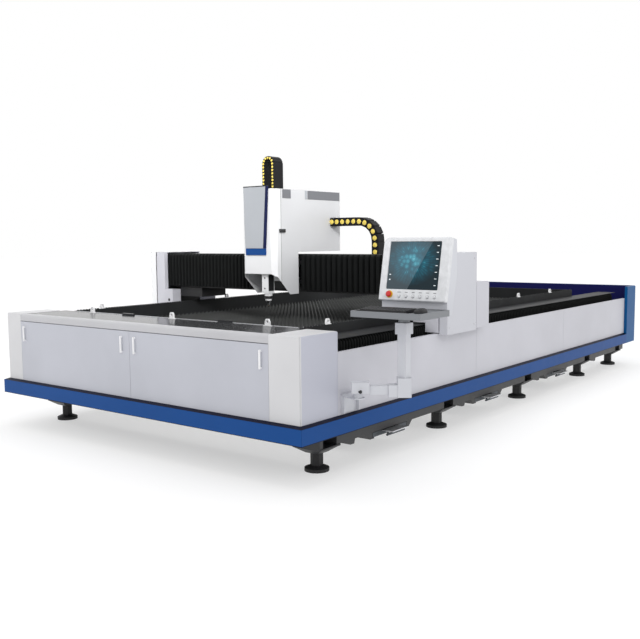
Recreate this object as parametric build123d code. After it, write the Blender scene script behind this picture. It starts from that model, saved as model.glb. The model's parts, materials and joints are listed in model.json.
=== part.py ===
from build123d import *
from math import atan2, cos, degrees, pi, radians, sin
import os

# Fiber laser cutting machine, in millimetres, standing on its feet.
# X runs along the machine (the short panelled front faces -X), Y across it
# (the operator's side faces -Y), Z up from the floor.

# Overall body, and the number of flats that small round pieces are made with
length = 5800
width = 2900
front_x = -length / 2
rear_x = length / 2
side_y = width / 2
sheet = 3
far_reach = 1500
console_reach = 1984
round_sides = 16

# Skirt band, side panels and covers
skirt_bottom = 250
skirt_face = 96
shelf_rise = 12
shelf_depth = 30
skirt_sheet = 4
shelf_z = skirt_bottom + skirt_face + shelf_rise
panel_top = 728
cover_top = 852
cover_length = 345
near_cover_width = 227
far_cover_width = 177
rear_shell_length = 300
rear_wall = 60
panel_seams = (-800, 900)

# Underframe
rail_y = 1240
rail_width = 200
rail_bottom = 157
rail_top = 355
rail_front = -2600
foot_stations = (-2500, -1070, 322, 1740, 2650)
foot_plate = 10
taper_bottom = 112
tube_end = 67
foot_sides = 18
cross_bottom = 240
cross_top = 360
tray_stations = (-1835, -437, 962)
tray_half = 200
tray_near = -1330
tray_floor = 120
tray_top = 150

# Cutting bed
bed_front = -2480
bed_rear = 1850
bed_half = 1130
bed_wall = 16
bed_top = 850
deck_top = 849
slat_top = 750
slat_count = 25
slat_teeth = 10
slat_sheet = 6

# Gantry, drawn at the place along the bed that it is parked at
gantry_front = -1385
gantry_rear = -955
beam_front = -1270
beam_rear = -970
beam_bottom = 970
beam_top = 1262
beam_half = 1335
end_box_bottom = 892
bellows_front = -1345
bellows_back = -1303

# Carriage and head
cheek_near = -180
cheek_far = 160
nose_front = -1637
nose_seam = -1560
nose_chamfer = 37
carriage_rear = -815
carriage_top = 1760
head_x = -1562
head_y = -48
nozzle_tip = 877
nozzle_body = 928

# Console arm
pivot_x = -2509
pivot_y = -1549
arm_angle = -52
arm_length = 264
tray_z = 978
tray_bottom = 943
lug_top = 478
column_top = 905

# Screen housing; the bezel leans back from its low edge to its high edge
housing_front = -2232
bezel_low = (-2237, 1016)
bezel_high = (-2166, 1382)
bezel_y = -1750
bezel_width = 450
bezel_height = 373
bezel_thick = 28
bezel_chamfer = 40
window = (343, 280)
window_place = (-7, 207)
button_pitch = 47
button_row = (-83, 27)
button_radius = 8
stop_radius = 10
stop_place = (-148.5, 36)


def block(x0, x1, y0, y1, z0, z1):
    """A box between two corners."""
    return Pos((x0 + x1) / 2, (y0 + y1) / 2, (z0 + z1) / 2) * Box(x1 - x0, y1 - y0, z1 - z0)


def along_x(points, x0, x1):
    """A (y, z) outline carried along X."""
    face = make_face(Polyline(*[(y, z) for y, z in points], close=True))
    return Pos(x0, 0, 0) * extrude(Plane.YZ * face, x1 - x0)


def along_y(points, y0, y1):
    """An (x, z) outline carried along Y."""
    face = make_face(Polyline(*points, close=True))
    return Pos(0, y1, 0) * extrude(Plane.XZ * face, y1 - y0)


def along_z(points, z0, z1):
    """An (x, y) outline carried up Z."""
    face = make_face(Polyline(*points, close=True))
    return Pos(0, 0, z0) * extrude(face, z1 - z0)


def drum(x, y, z0, z1, radius):
    """A round bar standing upright."""
    return Pos(x, y, (z0 + z1) / 2) * Cylinder(radius, z1 - z0)


def far(shape):
    """The same piece on the far side."""
    return mirror(shape, Plane.XZ)


def pair(shape):
    """A near piece and its mirror image, as two solids."""
    return [shape, far(shape)]


# Skirt and rear shell


def skirt_band():
    """The folded band all round: an upright face with a sloping shelf on top."""

    def frustum(grow, z0, z1):
        low = Pos(0, 0, z0) * Rectangle(length + grow, width + grow)
        inner = 2 * shelf_depth
        high = Pos(0, 0, z1) * Rectangle(length + grow - inner, width + grow - inner)
        return loft([low.face(), high.face()])

    face_top = skirt_bottom + skirt_face
    outer = Pos(0, 0, (skirt_bottom + face_top) / 2) * Box(length, width, skirt_face)
    outer += frustum(0, face_top, shelf_z)
    hollow = -2 * skirt_sheet
    inner = block(front_x + skirt_sheet, rear_x - skirt_sheet, -side_y + skirt_sheet,
                  side_y - skirt_sheet, skirt_bottom - 1, face_top)
    inner += frustum(hollow, face_top, shelf_z)
    return outer - inner


def skirts(band):
    """The band cut into its front and side sheets, mitred at the corners."""
    reach = 200
    shell_start = rear_x - rear_shell_length
    side = [(front_x, -side_y), (shell_start, -side_y), (shell_start, -side_y + reach),
            (front_x + reach, -side_y + reach)]
    front = [(front_x, -side_y), (front_x + reach, -side_y + reach),
             (front_x + reach, side_y - reach), (front_x, side_y)]
    near_cut = along_z(side, skirt_bottom - 5, shelf_z + 5)
    front_cut = along_z(front, skirt_bottom - 5, shelf_z + 5)
    near = band & near_cut
    return {"skirt_front": band & front_cut, "skirt_near": near, "skirt_far": far(near)}


def rear_shell():
    """Two posts and the end wall, one fabricated U, open towards the bed."""
    start = rear_x - rear_shell_length
    shell = block(start, rear_x, -side_y, side_y, skirt_bottom, cover_top)
    corners = [e for e in shell.edges().filter_by(Axis.Z) if e.center().X > start + 1]
    shell = fillet(corners, 40)
    shell = chamfer(shell.faces().sort_by(Axis.Z)[-1].edges().filter_by(Axis.X), 8)
    hollow = block(start - 1, rear_x - rear_wall, -side_y + rear_wall / 2,
                   side_y - rear_wall / 2, skirt_bottom - 1, cover_top + 1)
    return shell - hollow


# Underframe


def foot_bracket(x, y):
    """The plate under the rail and the taper down to the foot's column."""
    plate_low = rail_bottom - foot_plate
    plate = block(x - 100, x + 100, y - 105, y + 105, plate_low, rail_bottom)
    sides = [(-48, taper_bottom), (48, taper_bottom), (100, plate_low), (-100, plate_low)]
    taper = along_x(sides, -100, 100) & along_y(sides, -100, 100)
    return Pos(x, y, 0) * taper + plate


def tray_hanger(x, y0, y1):
    """A folded hanger on the +X side of a slag tray, with a lip under its pan."""
    inner = tray_half + 4
    lip = tray_floor - 2
    points = [(x + inner, rail_bottom), (x + inner, lip), (x + inner - 20, lip),
              (x + inner - 20, lip - 6), (x + inner + 26, lip - 6), (x + inner + 76, rail_bottom)]
    return along_y(points, y0, y1)


def frame_rail():
    """The near longitudinal rail with its brackets, stops and slag tray hangers."""
    low = -rail_y - rail_width / 2
    high = -rail_y + rail_width / 2
    rail = block(rail_front, rear_x - rear_wall - 10, low, high, rail_bottom, rail_top)
    for x in foot_stations:
        rail -= block(x - tube_end, x + tube_end, low - 1, low + 100, rail_bottom - 1, 205)
        rail += foot_bracket(x, -rail_y)
    for x in foot_stations[:-1]:
        stop = [(x + 118, rail_bottom), (x + 222, 123), (x + 262, 123), (x + 272, rail_bottom)]
        rail += along_y(stop, low + 10, low + 110)
    for x in tray_stations:
        hanger = tray_hanger(x, low + 10, high - 10)
        rail += hanger + mirror(hanger, Plane.YZ.offset(x))
    return rail


def cross_members():
    """Box cross members between the rails, and short ones out to the skirt."""
    inner = rail_y - rail_width / 2
    outer = rail_y + rail_width / 2
    skirt_inside = side_y - skirt_sheet
    out = []
    for x in (*foot_stations[:-1], 2500):
        out.append(block(x - 50, x + 50, -inner, inner, cross_bottom, cross_top))
        out += pair(block(x - 50, x + 50, -skirt_inside, -outer, cross_bottom + 20, cross_top - 20))
    out += pair(block(front_x + skirt_sheet, rail_front, -rail_y - 40, -rail_y + 40,
                      cross_bottom + 20, cross_top - 20))
    return Compound(out)


def levelling_foot(x, y):
    """A cast pad with a sloping top and the six-sided column that carries the bracket."""
    pad = extrude(RegularPolygon(76, foot_sides), 34)
    pad = chamfer(pad.faces().sort_by(Axis.Z)[-1].edges(), 14, 32)
    column = Pos(0, 0, 34) * extrude(RegularPolygon(39, 6), taper_bottom - 34)
    return Pos(x, y, 0) * (pad + column)


def levelling_feet():
    feet = []
    for x in foot_stations:
        feet += [levelling_foot(x, -rail_y), levelling_foot(x, rail_y)]
    return Compound(feet)


def slag_tray(x):
    """A long folded pan with a flange and a rod handle at the operator's side."""
    rear = 1120
    pan = block(x - tray_half, x + tray_half, tray_near, rear, tray_floor, tray_top)
    pan -= block(x - tray_half + sheet, x + tray_half - sheet, tray_near + sheet,
                 rear - sheet, tray_floor + sheet, tray_top + 1)
    flange = block(x - 95, x + 95, tray_near - 82, tray_near + sheet, tray_top - 6, tray_top)
    rod_y, rod_z = tray_near - 43, tray_top - 25
    for side in (-1, 1):
        leg = x + side * 88
        flange += block(leg - 5, leg + 5, rod_y - 5, rod_y + 5, rod_z, tray_top - 6)
    rod = Pos(x - 102, rod_y, rod_z) * Rot(0, 90, 0) * extrude(RegularPolygon(8, 10), 204)
    return pan + flange + rod


# Body sheets


def side_panels():
    """Three near sheets, folded in along their top edge."""
    y = -side_y + shelf_depth
    joints = [front_x + shelf_depth + cover_length, *panel_seams, rear_x - rear_shell_length]
    panels = []
    for a, b in zip(joints, joints[1:]):
        skin = block(a + 1, b - 1, y, y + sheet, shelf_z, panel_top)
        fold = block(a + 1, b - 1, y + sheet, y + 25, panel_top - sheet, panel_top)
        panels.append(skin + fold)
    return panels


def corner_cover(y_out, y_in):
    """A white cover with eased top and corner edges, open underneath."""
    x0 = front_x + shelf_depth
    x1 = x0 + cover_length
    low, high = min(y_out, y_in), max(y_out, y_in)
    shell = block(x0, x1, low, high, shelf_z, cover_top)
    front = shell.edges().filter_by(Axis.Z).sort_by(Axis.X)[:2]
    shell = fillet(front.sort_by(Axis.Y)[0 if y_out < y_in else -1], 10)
    shell = chamfer(shell.faces().sort_by(Axis.Z)[-1].edges(), 5)
    return shell - block(x0 + sheet, x1 - sheet, low + sheet, high - sheet,
                         shelf_z - 1, cover_top - sheet)


def front_bounds():
    """The front opening's ends and the middle seam, along Y."""
    near = -side_y + shelf_depth + near_cover_width
    far_end = side_y - shelf_depth - far_cover_width
    return near, 9, far_end


def front_panel(y0, y1):
    """A lift-off front panel: a shallow tray of folded sheet."""
    x = front_x + shelf_depth
    pan = block(x, x + 20, y0 + 1, y1 - 1, shelf_z, 796)
    return pan - block(x + sheet, x + 21, y0 + 1 + sheet, y1 - 1 - sheet,
                       shelf_z + sheet, 796 - sheet)


def bar_handle(y):
    """A flat bow handle standing upright on the front."""
    x = front_x + shelf_depth
    bow = block(x - 16, x, y - 5, y + 5, 652, 762)
    return bow - block(x - 8, x + 1, y - 6, y + 6, 664, 750)


def front_rim(y0, y1):
    """The rounded top edge of the front."""
    x = front_x + shelf_depth
    rim = block(x, x + 34, y0, y1, 800, cover_top)
    return fillet(rim.edges().filter_by(Axis.Y).sort_by(Axis.Z)[-2:].sort_by(Axis.X)[0], 22)


# Cutting bed


def bed_frame():
    """The welded box round the slats."""
    box = block(bed_front, bed_rear, -bed_half, bed_half, cross_top, bed_top)
    return box - block(bed_front + bed_wall, bed_rear - bed_wall, -bed_half + bed_wall,
                       bed_half - bed_wall, cross_top - 1, bed_top + 1)


def slat(x, half):
    """One upright slat with a sawtooth top edge."""
    pitch = 2 * half / slat_teeth
    points = [(-half, slat_top - 100)]
    for n in range(slat_teeth):
        start = -half + n * pitch
        points += [(start, slat_top - 28), (start + pitch / 2, slat_top)]
    points += [(half, slat_top - 28), (half, slat_top - 100)]
    return along_x(points, x - slat_sheet / 2, x + slat_sheet / 2)


def slat_grid():
    """The slats, standing side by side on three cross bars."""
    start = bed_front + bed_wall
    stop = bed_rear - bed_wall
    half = bed_half - bed_wall
    grid = [block(start, stop, y - 6, y + 6, slat_top - 160, slat_top - 100)
            for y in (-half + 6, 0, half - 6)]
    pitch = (stop - start) / slat_count
    grid += [slat(start + (n + 0.5) * pitch, half) for n in range(slat_count)]
    return Compound(grid)


def lifting_eye(x, y, z, height, turned):
    """An arch lug with one eye, on a small welded foot."""
    arch = make_face(Polyline((-20, 0), (20, 0), (20, height - 18), (11, height), (-11, height),
                              (-20, height - 18), close=True))
    arch -= Pos(0, height - 18) * RegularPolygon(10, 8)
    lug = extrude(Plane.XZ * arch, 6, both=True)
    lug += Pos(0, 0, 2.5) * Box(58, 16, 5)
    return Pos(x, y, z) * Rot(0, 0, 90 if turned else 0) * lug


def lifting_eyes():
    """Three along the front deck and four on each long wall of the bed."""
    eyes = [lifting_eye(bed_front - 25, y, deck_top, 44, True) for y in (-868, 0, 868)]
    wall = bed_half - bed_wall / 2
    for x in (-2228, -820, 586, 1296):
        eyes += [lifting_eye(x, y, bed_top, 37, False) for y in (-wall, wall)]
    return Compound(eyes)


def front_deck(y0, y1):
    """The dark loading plate with two low stops on its rear edge."""
    start = front_x + shelf_depth + 34
    plate = block(start, bed_front, y0 + 2, y1 - 2, deck_top - 6, deck_top)
    for y in (-487, 477):
        plate += block(bed_front - 18, bed_front - 2, y - 60, y + 60, deck_top, deck_top + 12)
    return plate


def side_beam():
    """The near beam that carries the long guide, with the rack on its outer face."""
    beam = block(-2520, 2600, -1262, -1150, rail_top, 700)
    return beam + block(-2500, 2560, -1280, -1262, 650, 680)


def pleats(start, stop, count, low, high, thick=2.5):
    """A zigzag strip from start to stop, as an outline."""
    step = (stop - start) / (2 * count)
    ridge = [(start + n * step, low + thick if n % 2 == 0 else high) for n in range(2 * count + 1)]
    back = [(u, v - thick) for u, v in reversed(ridge)]
    return ridge + back


def x_bellows(start, stop, count):
    """A pleated curtain beside the near guide."""
    return along_z(pleats(start, stop, count, -1323, -1285), 560, 783)


# Gantry


def end_carriage():
    """The near gantry foot on its guide, with its riser up to the beam."""
    x0, x1 = -1340, beam_rear
    foot = block(x0, x1, -1385, -1160, 752, 775) + block(x0, x1, -1385, -beam_half, 752, beam_top)
    for x in (x0, x1 - 110):
        foot += block(x, x + 110, -1255, -1165, 726, 752)
        foot += block(x, x + 110, -1255, -1228, 704, 726)
        foot += block(x, x + 110, -1192, -1165, 704, 726)
    return foot


def end_housing():
    """White sheet housing over the near gantry end, with its lower rear box."""
    y0, y1 = -1429, -1326
    low, high = 734, 1280
    tall = block(gantry_front + 2, gantry_rear - 2, y0, y1, low, high)
    tall -= block(gantry_front + 5, gantry_rear - 5, y0 + sheet, y1 + 1, low - 1, high - sheet)
    tall += block(gantry_front + 2, bellows_front - 1, y1 - sheet, y1, low, high)
    tall += block(gantry_front + 15, gantry_rear - 15, y0 - 11, y0 + sheet, low + 6, high - 12)
    box = [(gantry_rear - 2, low), (-763, low), (-763, 1052), (-776, 1065), (gantry_rear - 2, 1065)]
    rear = along_y(box, -far_reach, y1)
    rear -= block(gantry_rear + 1, -766, -far_reach + sheet, y1 + 1, low - 1, 1049)
    step = block(gantry_front, -1290, y1, -1230, 800, 955)
    return tall + rear + step


def end_cover():
    """The outer white cover of the near gantry end, open inside and below."""
    y1 = -1440
    shell = block(gantry_front, gantry_rear - 6, -far_reach, y1, 722, 1280)
    return shell - block(gantry_front + sheet, gantry_rear - 6 - sheet, -far_reach + sheet,
                         y1 + 1, 721, 1280 - sheet)


def gantry_beam():
    """The box beam: rack in front, chain tray behind, a box under each end."""
    beam = block(beam_front, beam_rear, -beam_half, beam_half, beam_bottom, beam_top)
    beam += block(beam_front - 12, beam_front, -1290, 1290, 1110, 1140)
    beam += block(beam_rear, -838, -1300, 1300, 957, 961)
    beam += block(beam_rear, beam_rear + sheet, -1300, 1300, 957, 1050)
    beam += block(-838 - sheet, -838, -1300, 1300, 957, 1050)
    for side in (-1, 1):
        low, high = sorted((side * 1229, side * 960))
        beam += block(-1290, -1000, low, high, end_box_bottom, beam_bottom)
    return beam


def beam_bellows(y0, y1, count):
    """Pleated cover in front of the beam."""
    outline = [(v, u) for u, v in pleats(y0, y1, count, bellows_front, bellows_back)]
    return along_z(outline, 985, 1266)


def chain(points, width_x, x, height, step):
    """A drag chain: one link for each step along its (y, z) line."""
    links = []
    for (y0, z0), (y1, z1) in zip(points, points[1:]):
        angle = degrees(atan2(z1 - z0, y1 - y0))
        link = Box(width_x, step * 1.14, height)
        links.append(Pos(x, (y0 + y1) / 2, (z0 + z1) / 2) * Rot(angle, 0, 0) * link)
    return links[0].fuse(*links[1:])


def walk(parts, step):
    """Points a step apart along straight runs and arcs given as (function, length)."""
    total = sum(size for _, size in parts)
    count = round(total / step)
    points = []
    for n in range(count + 1):
        s = total * n / count
        for place, size in parts:
            if s <= size + 1e-6:
                points.append(place(s))
                break
            s -= size
    return points


def y_chain():
    """The drag chain behind the beam: out from the carriage, down and back."""
    y0, y_bend, radius = cheek_near - 36, -464, 150
    z_top, z_low = 1518, 1000
    quarter = radius * pi / 2
    drop = z_top - z_low - 2 * radius
    parts = [
        (lambda s: (y0 - s, z_top), y0 - y_bend),
        (lambda s: (y_bend - radius * sin(s / radius), z_top - radius + radius * cos(s / radius)),
         quarter),
        (lambda s: (y_bend - radius, z_top - radius - s), drop),
        (lambda s: (y_bend - radius * cos(s / radius), z_low + radius - radius * sin(s / radius)),
         quarter),
        (lambda s: (y_bend + s, z_low), 760),
    ]
    end = block(-950, -850, y0 - 8, cheek_near - 0.5, z_top - 34, z_top + 34)
    return chain(walk(parts, 60), 88, -900, 66, 60) + end


def z_chain():
    """The drag chain that arches over the carriage's top."""
    y_mid, radius, z_mid, z_foot = -96, 45, 1946, 1642
    leg = z_mid - z_foot
    parts = [
        (lambda s: (y_mid - radius, z_foot + s), leg),
        (lambda s: (y_mid - radius * cos(s / radius), z_mid + radius * sin(s / radius)),
         pi * radius),
        (lambda s: (y_mid + radius, z_mid - s), leg),
    ]
    return chain(walk(parts, 24), 114, -1550, 24, 24)


# Carriage


def saddle():
    """The carriage casting: bearing blocks, upright plate, shelf and brackets."""
    low, high = -150, 130
    body = block(-1400, -1348, low, high, 1000, 1640)
    for y in (-110, 65):
        body += block(-1420, -1400, y, y + 25, 1040, 1620)
    for z in (1018, 1168):
        for y in (low, high - 100):
            body += block(-1348, -1297, y, y + 100, z, z + 64)
    body += block(-1348, -830, low, high, 1290, 1306)
    gusset = [(-1348, 1306), (-1100, 1306), (-1348, 1560)]
    for y in (low, high - 10):
        body += along_y(gusset, y, y + 10)
    body += block(-1550, -1400, low, -132, 1600, 1640)
    body += block(-920, -880, -176, low + 20, 1306, 1484)
    return body + block(-945, -855, -176, low + 20, 1484, 1552)


def nose_cover():
    """The front of the carriage cover, between its two seams."""
    c = nose_chamfer
    t = 2.5

    def outline(g):
        return [(nose_seam, cheek_near + g), (nose_front + c, cheek_near + g),
                (nose_front + g, cheek_near + c), (nose_front + g, cheek_far - c),
                (nose_front + c, cheek_far - g), (nose_seam, cheek_far - g)]

    wall = along_z(outline(0) + outline(t)[::-1], 1000, carriage_top - 3)
    under = [(-1700, 900), (-1700, 1122), (nose_front, 1122), (nose_front + c, 1095),
             (nose_seam + 1, 1056), (nose_seam + 1, 900)]
    hinge = along_z([(-1590, cheek_far), (nose_seam, cheek_far), (nose_seam, cheek_far + 2),
                     (-1590, cheek_far + 2)], 1130, 1700)
    barrel = drum(nose_seam, cheek_far + 5, 1130, 1700, 5)
    return wall - along_y(under, -200, 200) + hinge + barrel


def carriage_cover():
    """Cheeks, top and back of the carriage cover, open below."""
    t = 2.5
    cheek = [(nose_seam + 2, 1055), (-1460, 962), (-1357, 962), (-1357, 1285),
             (carriage_rear, 1285), (carriage_rear, carriage_top - 3), (nose_seam + 2, carriage_top - 3)]
    cover = along_y(cheek, cheek_near, cheek_near + t) + along_y(cheek, cheek_far - t, cheek_far)
    c = nose_chamfer
    top = [(nose_front, cheek_near + c), (nose_front + c, cheek_near), (carriage_rear, cheek_near),
           (carriage_rear, cheek_far), (nose_front + c, cheek_far), (nose_front, cheek_far - c)]
    lid = along_z(top, carriage_top - 3, carriage_top)
    lid -= block(-1610, -1490, -166, -26, carriage_top - 4, carriage_top + 1)
    back = block(carriage_rear - t, carriage_rear, cheek_near, cheek_far, 1285, carriage_top - 3)
    return cover + lid + back


def nose_panel():
    """The tapered silver plate on the nose, standing a little above the lid."""
    top = carriage_top + 16
    points = [(120, top), (-107, top), (-75, 1315), (106, 1315)]
    return along_x(points, nose_front - 9, nose_front)


def nose_latch():
    """A quarter-turn catch over the near seam."""
    plate = block(-1582, -1516, cheek_near - 9, cheek_near - 1, 1433, 1459)
    return plate + Pos(-1571, cheek_near - 0.5, 1446) * Rot(90, 0, 0) * Cylinder(7, 1)


def head_slide():
    """The lifting plate, its arm and the slim white head body."""
    body = block(-1450, -1422, -130, 110, 1060, 1480)
    body += block(-1530, -1450, head_y - 32, head_y + 32, 1150, 1400)
    body += block(-1600, -1530, head_y - 32, head_y + 32, 972, 1420)
    return body + block(-1530, -1500, -66, -36, 1400, 1640)


def cutting_nozzle():
    """The lower head: a round body over a many-sided cone that ends in the tip."""
    tall = nozzle_body - nozzle_tip
    cone = extrude(Pos(head_x, head_y, nozzle_tip) * RegularPolygon(24, 2 * round_sides), tall)
    cone = chamfer(cone.faces().sort_by(Axis.Z)[0].edges(), tall - 5, 20)
    return cone + drum(head_x, head_y, nozzle_body, 972, 30)


# Console


def console_bracket():
    """A shallow channel on the near side, with a lug and a pin for the arm."""
    wall = -side_y + shelf_depth
    x0, x1, low = -2497, -2345, shelf_z + 8
    box = block(x0, x1, wall - 25, wall, low, lug_top)
    box -= block(x0 + 5, x1 - 5, wall - 26, wall - 5, low - 1, lug_top - 6)
    lug = along_z([(x0, wall), (-2400, wall), (pivot_x + 42, pivot_y), (pivot_x - 42, pivot_y)],
                  lug_top - 6, lug_top)
    lug += drum(pivot_x, pivot_y, lug_top - 6, lug_top, 42)
    collar = Pos(pivot_x, pivot_y, lug_top) * RegularPolygon(28, round_sides)
    pin = extrude(collar, 504 - lug_top) + drum(pivot_x, pivot_y, 504, 545, 15)
    return box + lug + pin


def console_arm():
    """Pivot block, square arm, elbow and upright column, welded as one."""
    arm = block(-37, 65, -40, 40, 505, 568) - drum(0, 0, 500, 550, 15.1)
    arm += block(65, arm_length - 30, -26, 26, 496, 548)
    arm += block(arm_length - 91, arm_length - 39, -36, 36, 484, 552)
    arm += block(arm_length - 39, arm_length + 39, -39, 39, 480, 592)
    arm = Pos(pivot_x, pivot_y, 0) * Rot(0, 0, arm_angle) * arm
    x, y = column_place()
    post = block(x - 27, x + 27, y - 27, y + 27, 592, 840)
    sleeve = block(x - 37, x + 37, y - 37, y + 37, 840, column_top)
    return arm + post + sleeve + drum(x, y, column_top, column_top + 30, 15)


def column_place():
    """Where the column stands, from the pivot and the arm."""
    turn = radians(arm_angle)
    return pivot_x + arm_length * cos(turn), pivot_y + arm_length * sin(turn)


def console_tray():
    """The keyboard tray, with a raised rim and a collar on the column."""
    x, y = column_place()
    tray = block(-2550, housing_front - 1, -console_reach, -1530, tray_bottom, tray_z)
    tray -= block(-2540, housing_front - 11, -console_reach + 10, -1540, tray_z - 4, tray_z + 1)
    collar = drum(x, y, column_top + 1, tray_bottom, 33) - drum(x, y, column_top, tray_bottom - 4, 15.1)
    return tray + collar


def bezel_plane():
    """The leaning back of the bezel, with its origin low in the middle."""
    lean = atan2(bezel_high[0] - bezel_low[0], bezel_high[1] - bezel_low[1])
    return Plane(origin=(bezel_low[0], bezel_y, bezel_low[1]), x_dir=(0, -1, 0),
                 z_dir=(-cos(lean), 0, sin(lean)))


def on_bezel(u, v):
    """A place on the bezel, u to the right and v up."""
    return bezel_plane() * Pos(u, v, 0)


def button_places():
    """Six round buttons in a row under the screen."""
    u, v = button_row
    return [(u + button_pitch * n, v) for n in range(6)]


def console_bezel():
    """The white frame round the screen, with holes for the buttons."""
    half = bezel_width / 2
    outline = Polyline((-half, 0), (half, 0), (half, bezel_height), (-half + bezel_chamfer, bezel_height),
                       (-half, bezel_height - bezel_chamfer), close=True)
    plate = make_face(outline)
    plate = fillet(plate.vertices().sort_by(Axis.X)[-2:], 14)
    plate -= Pos(*window_place) * Rectangle(*window)
    for u, v in button_places():
        plate -= Pos(u, v) * RegularPolygon(button_radius + 0.6, round_sides)
    plate -= Pos(*stop_place) * RegularPolygon(stop_radius + 0.6, round_sides)
    return bezel_plane() * extrude(plate, bezel_thick)


def console_screen():
    """The glass in the bezel's window, backed by the housing."""
    glass = Rectangle(window[0] - 0.6, window[1] - 0.6)
    return on_bezel(*window_place) * extrude(glass, bezel_thick - 5)


def console_housing():
    """The grey case behind the bezel, standing at the back of the tray."""
    points = [(housing_front, tray_bottom), (housing_front, bezel_low[1]), bezel_low,
              (-2167, 1380), (-2124, 1372), (-2115, 1180), (-2175, tray_bottom)]
    case = along_y(points, bezel_y - 218, bezel_y + 218)
    behind = bezel_plane() * extrude(Pos(0, 150) * Rectangle(600, 600), bezel_thick + 20)
    return case - behind


def push_button(u, v):
    """A round push button in its hole."""
    return on_bezel(u, v) * extrude(
        Pos(0, 0, bezel_thick - 14) * RegularPolygon(button_radius, round_sides), 19)


def e_stop():
    """The red mushroom and its stem."""
    mushroom = extrude(Pos(0, 0, 36.6) * RegularPolygon(18, 2 * round_sides), 11.4)
    mushroom = chamfer(mushroom.faces().sort_by(Axis.Z)[-1].edges(), 4)
    stem = extrude(Pos(0, 0, 18) * RegularPolygon(stop_radius, round_sides), 19)
    return on_bezel(*stop_place) * (mushroom + stem)


def e_stop_ring():
    """The yellow plate round the emergency stop."""
    ring = RegularPolygon(22, 2 * round_sides) - RegularPolygon(stop_radius + 0.6, round_sides)
    return on_bezel(*stop_place) * extrude(Pos(0, 0, bezel_thick) * ring, 3)


def keyboard():
    """A keyboard with a stepped top."""
    low = tray_z - 4
    points = [(-2530, low), (-2400, low), (-2400, low + 22), (-2412, low + 22), (-2530, low + 14)]
    return along_y(points, -1880, -1556)


def mouse():
    """A low mouse with its corners taken off."""
    body = block(-2500, -2400, -1956, -1900, tray_z - 4, tray_z + 25)
    body = chamfer(body.edges().filter_by(Axis.Z), 18)
    return chamfer(body.faces().sort_by(Axis.Z)[-1].edges(), 7)


def build():
    """Every sub-part by name."""
    y_near, y_seam, y_far = front_bounds()
    x_open = front_x + shelf_depth + cover_length
    nodes = skirts(skirt_band())
    nodes["rear_shell"] = rear_shell()
    nodes["frame_rail_near"] = frame_rail()
    nodes["frame_rail_far"] = far(nodes["frame_rail_near"])
    nodes["frame_cross_members"] = cross_members()
    nodes["levelling_feet"] = levelling_feet()
    for n, x in enumerate(tray_stations, 1):
        nodes[f"slag_tray_{n}"] = slag_tray(x)
    nodes["side_panels_near"] = Compound(side_panels())
    nodes["side_panels_far"] = Compound([far(p) for p in side_panels()])
    y_out = side_y - shelf_depth
    nodes["corner_covers"] = Compound([corner_cover(-y_out, y_near), corner_cover(y_out, y_far)])
    nodes["front_panels"] = Compound([front_panel(y_near, y_seam), front_panel(y_seam, y_far)])
    handles = [bar_handle(y) for y in (y_near + 57, y_seam - 55, y_seam + 74, y_far - 50)]
    nodes["panel_handles"] = Compound(handles)
    nodes["front_rim"] = front_rim(y_near, y_far)
    nodes["front_deck"] = front_deck(y_near, y_far)
    nodes["bed_frame"] = bed_frame()
    nodes["slat_grid"] = slat_grid()
    nodes["lifting_eyes"] = lifting_eyes()
    nodes["side_beams"] = Compound(pair(side_beam()))
    nodes["x_guides"] = Compound(pair(block(-2500, 2560, -1225, -1195, 700, 724)))
    cap = block(x_open + 2, rear_x - rear_shell_length, -1320, -bed_half, 784, 788)
    nodes["bellows_caps"] = Compound(pair(cap))
    front_run = x_bellows(x_open + 2, bellows_front, 14)
    rear_run = x_bellows(-760, 2500, 30)
    nodes["x_bellows_front_near"] = front_run
    nodes["x_bellows_rear_near"] = rear_run
    nodes["x_bellows_front_far"] = far(front_run)
    nodes["x_bellows_rear_far"] = far(rear_run)
    nodes["gantry_beam"] = gantry_beam()
    guides = [block(-1294, beam_front, -1300, 1300, z, z + 30) for z in (1035, 1185)]
    nodes["y_guides"] = Compound(guides)
    nodes["end_carriages"] = Compound(pair(end_carriage()))
    nodes["end_housings"] = Compound(pair(end_housing()))
    nodes["end_covers"] = Compound(pair(end_cover()))
    nodes["beam_bellows_near"] = beam_bellows(-1325, cheek_near - 2, 18)
    nodes["beam_bellows_far"] = beam_bellows(cheek_far + 2, 1325, 22)
    nodes["y_chain"] = y_chain()
    nodes["carriage_saddle"] = saddle()
    nodes["carriage_cover"] = carriage_cover()
    nodes["nose_cover"] = nose_cover()
    nodes["nose_panel"] = nose_panel()
    nodes["nose_latch"] = nose_latch()
    nodes["z_chain"] = z_chain()
    nodes["head_slide"] = head_slide()
    nodes["cutting_nozzle"] = cutting_nozzle()
    nodes["console_bracket"] = console_bracket()
    nodes["console_arm"] = console_arm()
    nodes["console_tray"] = console_tray()
    nodes["console_housing"] = console_housing()
    nodes["console_bezel"] = console_bezel()
    nodes["console_screen"] = console_screen()
    nodes["keyboard"] = keyboard()
    nodes["mouse"] = mouse()
    nodes["e_stop_ring"] = e_stop_ring()
    nodes["e_stop"] = e_stop()
    for n, (u, v) in enumerate(button_places(), 1):
        nodes[f"push_button_{n}"] = push_button(u, v)
    return nodes


# The origin is under the middle of the whole machine, console included.
centre = Pos(0, (console_reach - far_reach) / 2, 0)
os.makedirs("parts", exist_ok=True)
for name, shape in build().items():
    export_step(centre * shape, f"parts/{name}.step")
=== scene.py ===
import json
import math
import itertools
import bmesh
import bpy
from mathutils import Matrix, Vector


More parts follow.
